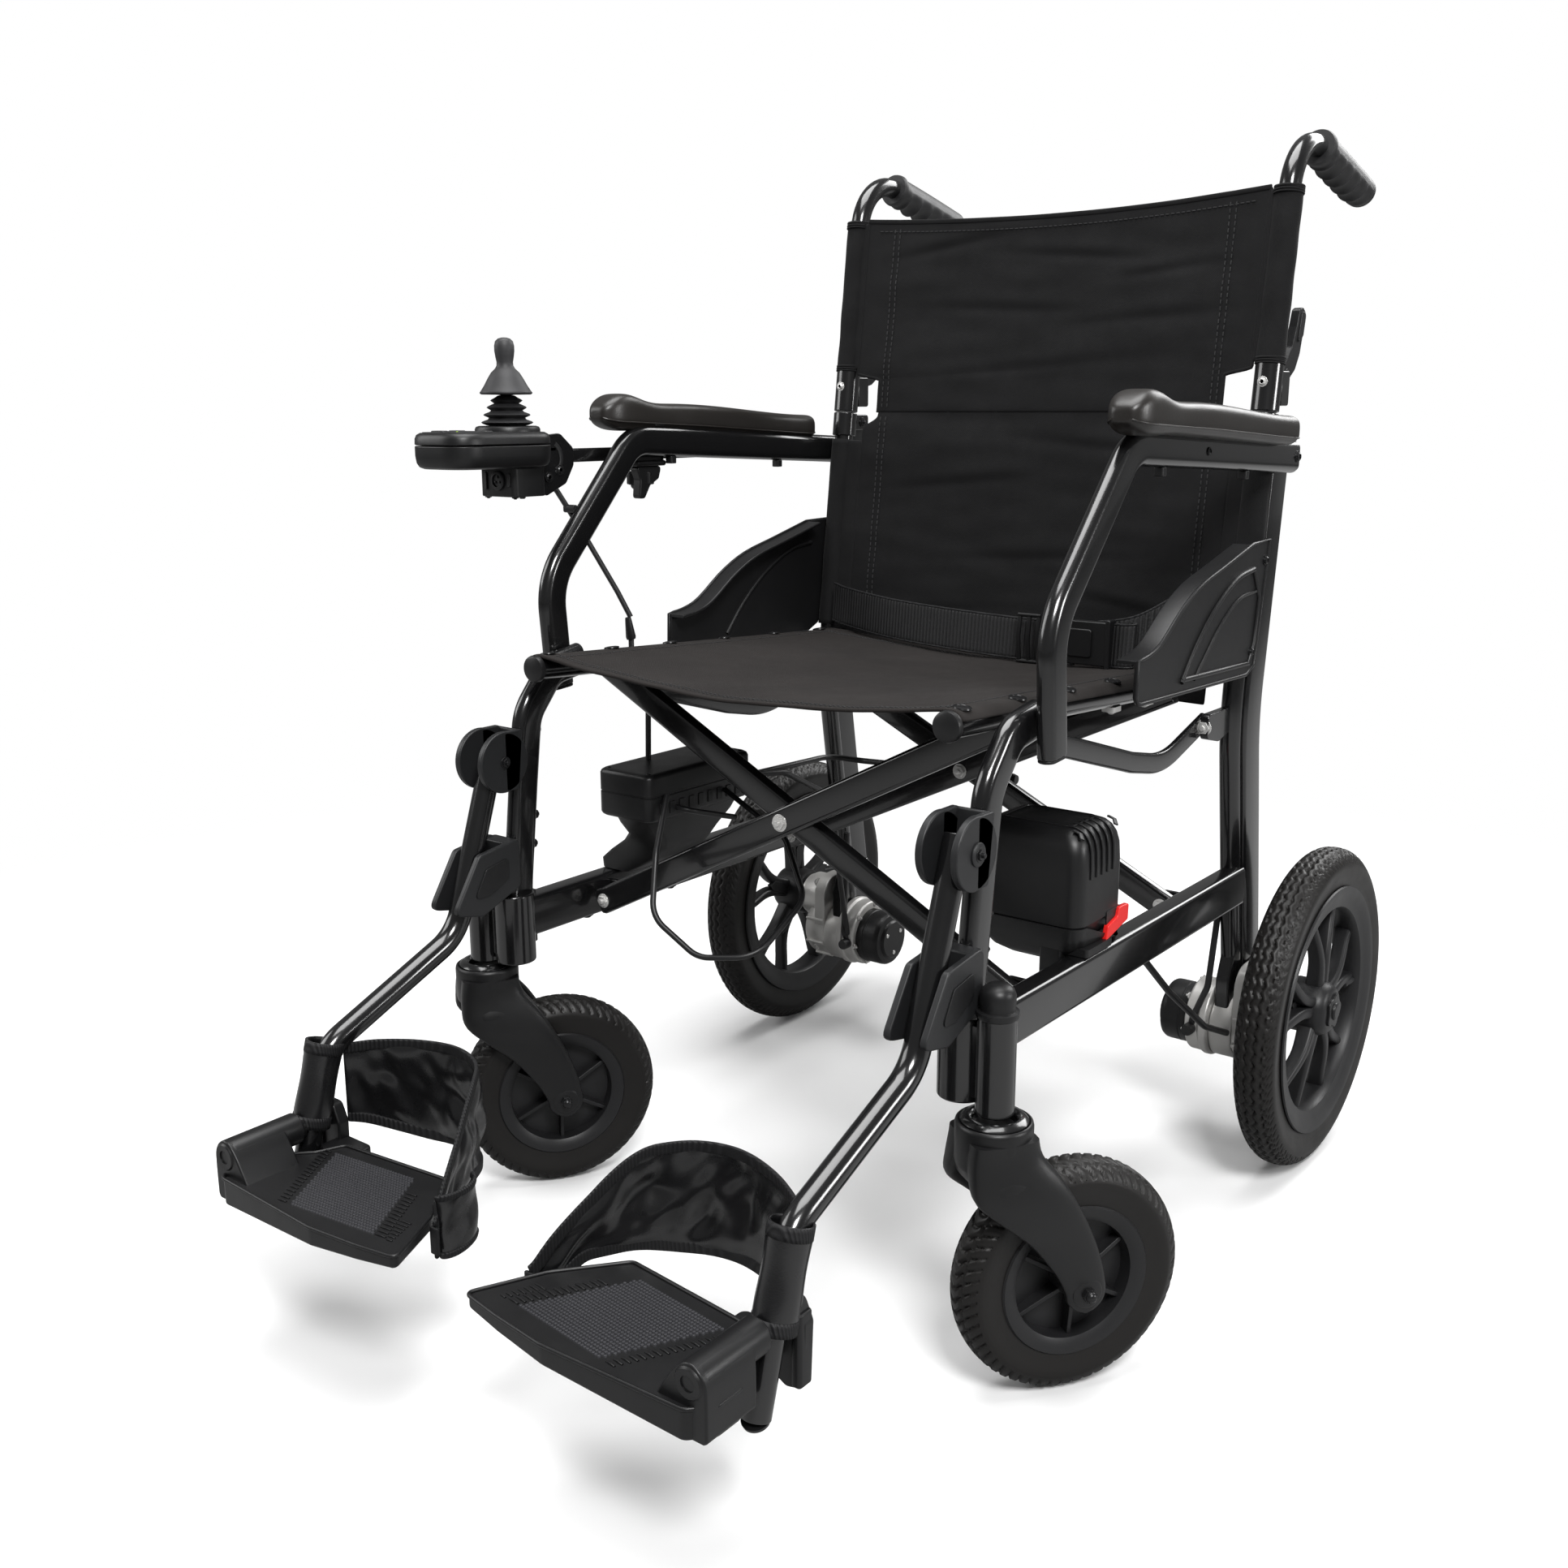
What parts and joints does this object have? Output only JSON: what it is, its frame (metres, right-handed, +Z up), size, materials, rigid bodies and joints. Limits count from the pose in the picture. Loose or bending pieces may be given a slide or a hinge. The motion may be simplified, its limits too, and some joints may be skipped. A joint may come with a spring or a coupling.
{
  "type": "power wheelchair",
  "caption": "Folding power wheelchair with a cross-brace frame, fabric seat and back, joystick controller, drive wheels, swivel casters, armrests and footrests.",
  "frame": {"origin": "on the floor, at the bottom centre of the chair's bounding box", "axes": "+Z up, -Y forwards the way the occupant faces, +X to the occupant's left"},
  "size_m": [0.6878, 1.0282, 0.9456],
  "materials": {
    "frame_paint": "gloss",
    "dark_plastic": "satin",
    "grey_plastic": "satin",
    "cast_metal": "cast",
    "tyre_rubber": "matte",
    "wheel_plastic": "satin",
    "soft_rubber": "matte",
    "black_fabric": "woven",
    "pad_foam": "satin",
    "red_plastic": "gloss"
  },
  "bodies": {
    "left_side": {"side_frame_left": "frame_paint", "skirt_guard_left": "dark_plastic", "gearbox_left": "cast_metal", "motor_left": "grey_plastic", "hanger_bracket_left": "grey_plastic", "battery_cradle": "dark_plastic", "back_sling_lower": "black_fabric", "lap_belt": "black_fabric"},
    "right_side": {"side_frame_right": "frame_paint", "skirt_guard_right": "dark_plastic", "gearbox_right": "cast_metal", "motor_right": "grey_plastic", "hanger_bracket_right": "grey_plastic", "power_module": "dark_plastic"},
    "brace_a": {"cross_brace_a": "frame_paint", "seat_sling": "black_fabric"},
    "brace_b": {"cross_brace_b": "frame_paint"},
    "stay_left": {"seat_stay_left": "frame_paint"},
    "stay_right": {"seat_stay_right": "frame_paint"},
    "battery": {"battery_pack": "dark_plastic"},
    "battery_catch": {"battery_latch": "red_plastic"},
    "back_left": {"back_cane_left": "frame_paint", "hand_grip_left": "soft_rubber", "back_sling_upper": "black_fabric"},
    "back_right": {"back_cane_right": "frame_paint", "hand_grip_right": "soft_rubber"},
    "latch_left": {"back_latch_left": "dark_plastic"},
    "latch_right": {"back_latch_right": "dark_plastic"},
    "armrest_left": {"armrest_frame_left": "frame_paint", "arm_pad_left": "pad_foam"},
    "armrest_right": {"armrest_frame_right": "frame_paint", "arm_pad_right": "pad_foam"},
    "controller": {"control_arm": "frame_paint", "controller_base": "dark_plastic", "controller_cover": "dark_plastic"},
    "arm_knob": {"clamp_knob": "dark_plastic"},
    "gimbal": {"joystick_ring": "dark_plastic"},
    "stick": {"joystick": "grey_plastic", "joystick_boot": "soft_rubber"},
    "power_key": {"key_power": "grey_plastic"},
    "horn_key": {"key_horn": "grey_plastic"},
    "lamp_key": {"key_lamp": "grey_plastic"},
    "slower_key": {"key_slower": "grey_plastic"},
    "faster_key": {"key_faster": "grey_plastic"},
    "hanger_left": {"hanger_tube_left": "frame_paint", "heel_strap_left": "black_fabric"},
    "hanger_right": {"hanger_tube_right": "frame_paint", "heel_strap_right": "black_fabric"},
    "plate_left": {"footplate_left": "dark_plastic"},
    "plate_right": {"footplate_right": "dark_plastic"},
    "swivel_left": {"caster_fork_left": "dark_plastic"},
    "swivel_right": {"caster_fork_right": "dark_plastic"},
    "caster_left": {"caster_tyre_left": "tyre_rubber", "caster_hub_left": "wheel_plastic"},
    "caster_right": {"caster_tyre_right": "tyre_rubber", "caster_hub_right": "wheel_plastic"},
    "drive_left": {"drive_tyre_left": "tyre_rubber", "drive_rim_left": "wheel_plastic"},
    "drive_right": {"drive_tyre_right": "tyre_rubber", "drive_rim_right": "wheel_plastic"}
  },
  "joints": [
    {"name": "fold", "type": "hinge", "parent": "left_side", "child": "brace_a", "pos_m": [0.19306, 0.04491, 0.265], "axis": [0, 1, 0], "range_deg": [0, 15.5], "deforming": ["seat_sling", "back_sling_lower", "back_sling_upper", "lap_belt"]},
    {"name": "brace_cross", "type": "hinge", "parent": "brace_a", "child": "brace_b", "pos_m": [-0.01294, 0.04491, 0.36675], "axis": [0, 1, 0], "range_deg": [-31, 0]},
    {"name": "brace_foot", "type": "hinge", "parent": "brace_b", "child": "right_side", "pos_m": [-0.21894, 0.04491, 0.265], "axis": [0, 1, 0], "range_deg": [0, 15.5]},
    {"name": "stay_left", "type": "hinge", "parent": "left_side", "child": "stay_left", "pos_m": [0.20556, 0.22891, 0.427], "axis": [-1, 0, 0], "range_deg": [0, 19.5]},
    {"name": "stay_right", "type": "hinge", "parent": "right_side", "child": "stay_right", "pos_m": [-0.23144, 0.22891, 0.427], "axis": [-1, 0, 0], "range_deg": [0, 19.5]},
    {"name": "battery_lift", "type": "slide", "parent": "left_side", "child": "battery", "axis": [0, 0, 1], "range_m": [0, 0.035]},
    {"name": "battery_latch", "type": "hinge", "parent": "battery", "child": "battery_catch", "pos_m": [0.21406, 0.03891, 0.296], "axis": [-1, 0, 0], "range_deg": [0, 20]},
    {"name": "back_fold_left", "type": "hinge", "parent": "left_side", "child": "back_left", "pos_m": [0.21606, 0.31891, 0.7], "axis": [-1, 0, 0], "range_deg": [0, 100]},
    {"name": "back_latch_left", "type": "hinge", "parent": "back_left", "child": "latch_left", "pos_m": [0.21606, 0.33091, 0.729], "axis": [-1, 0, 0], "range_deg": [0, 20]},
    {"name": "back_fold_right", "type": "hinge", "parent": "right_side", "child": "back_right", "pos_m": [-0.24194, 0.31891, 0.7], "axis": [-1, 0, 0], "range_deg": [0, 100]},
    {"name": "back_latch_right", "type": "hinge", "parent": "back_right", "child": "latch_right", "pos_m": [-0.24194, 0.33091, 0.729], "axis": [-1, 0, 0], "range_deg": [0, 20]},
    {"name": "armrest_left", "type": "hinge", "parent": "left_side", "child": "armrest_left", "pos_m": [0.23706, 0.30991, 0.662], "axis": [-1, 0, 0], "range_deg": [0, 90]},
    {"name": "armrest_right", "type": "hinge", "parent": "right_side", "child": "armrest_right", "pos_m": [-0.26294, 0.30991, 0.662], "axis": [-1, 0, 0], "range_deg": [0, 90]},
    {"name": "control_slide", "type": "slide", "parent": "armrest_right", "child": "controller", "axis": [0, 1, 0], "range_m": [-0.04, 0.045]},
    {"name": "clamp_knob", "type": "hinge", "parent": "armrest_right", "child": "arm_knob", "pos_m": [-0.28294, 0.02091, 0.64], "axis": [0, 0, 1], "continuous": true},
    {"name": "stick_pitch", "type": "hinge", "parent": "controller", "child": "gimbal", "pos_m": [-0.28294, -0.14509, 0.687], "axis": [1, 0, 0], "range_deg": [-18, 18]},
    {"name": "stick_roll", "type": "hinge", "parent": "gimbal", "child": "stick", "pos_m": [-0.28294, -0.14509, 0.687], "axis": [0, 1, 0], "range_deg": [-18, 18], "deforming": ["joystick_boot"]},
    {"name": "press_power", "type": "slide", "parent": "controller", "child": "power_key", "axis": [0, 0, -1], "range_m": [0, 0.0008]},
    {"name": "press_horn", "type": "slide", "parent": "controller", "child": "horn_key", "axis": [0, 0, -1], "range_m": [0, 0.0008]},
    {"name": "press_lamp", "type": "slide", "parent": "controller", "child": "lamp_key", "axis": [0, 0, -1], "range_m": [0, 0.0008]},
    {"name": "press_slower", "type": "slide", "parent": "controller", "child": "slower_key", "axis": [0, 0, -1], "range_m": [0, 0.0008]},
    {"name": "press_faster", "type": "slide", "parent": "controller", "child": "faster_key", "axis": [0, 0, -1], "range_m": [0, 0.0008]},
    {"name": "hanger_left", "type": "hinge", "parent": "left_side", "child": "hanger_left", "pos_m": [0.22006, -0.21309, 0.412], "axis": [-1, 0, 0], "range_deg": [0, 80], "deforming": ["heel_strap_left"]},
    {"name": "footplate_left", "type": "hinge", "parent": "hanger_left", "child": "plate_left", "pos_m": [0.22006, -0.43009, 0.154], "axis": [0, 1, 0], "range_deg": [0, 90], "deforming": ["heel_strap_left"]},
    {"name": "hanger_right", "type": "hinge", "parent": "right_side", "child": "hanger_right", "pos_m": [-0.24594, -0.21309, 0.412], "axis": [-1, 0, 0], "range_deg": [0, 80], "deforming": ["heel_strap_right"]},
    {"name": "footplate_right", "type": "hinge", "parent": "hanger_right", "child": "plate_right", "pos_m": [-0.24594, -0.43009, 0.154], "axis": [0, -1, 0], "range_deg": [0, 90], "deforming": ["heel_strap_right"]},
    {"name": "swivel_left", "type": "hinge", "parent": "left_side", "child": "swivel_left", "pos_m": [0.25046, -0.20309, 0.21], "axis": [0, 0, 1], "continuous": true},
    {"name": "caster_left", "type": "hinge", "parent": "swivel_left", "child": "caster_left", "pos_m": [0.28368, -0.15193, 0.0895], "axis": [0.8387, -0.5446, 0], "continuous": true},
    {"name": "swivel_right", "type": "hinge", "parent": "right_side", "child": "swivel_right", "pos_m": [-0.27634, -0.20309, 0.21], "axis": [0, 0, 1], "continuous": true},
    {"name": "caster_right", "type": "hinge", "parent": "swivel_right", "child": "caster_right", "pos_m": [-0.24312, -0.15193, 0.0895], "axis": [0.8387, -0.5446, 0], "continuous": true},
    {"name": "drive_left", "type": "hinge", "parent": "left_side", "child": "drive_left", "pos_m": [0.29306, 0.31491, 0.1525], "axis": [1, 0, 0], "continuous": true},
    {"name": "drive_right", "type": "hinge", "parent": "right_side", "child": "drive_right", "pos_m": [-0.31894, 0.31491, 0.1525], "axis": [1, 0, 0], "continuous": true}
  ],
  "couplings": [
    {"joint": "brace_cross", "follows": "fold", "ratio": -2},
    {"joint": "brace_foot", "follows": "fold", "ratio": 1},
    {"joint": "stay_left", "follows": "fold", "ratio": 1.25},
    {"joint": "stay_right", "follows": "fold", "ratio": 1.25},
    {"joint": "back_fold_right", "follows": "back_fold_left", "ratio": 1}
  ]
}
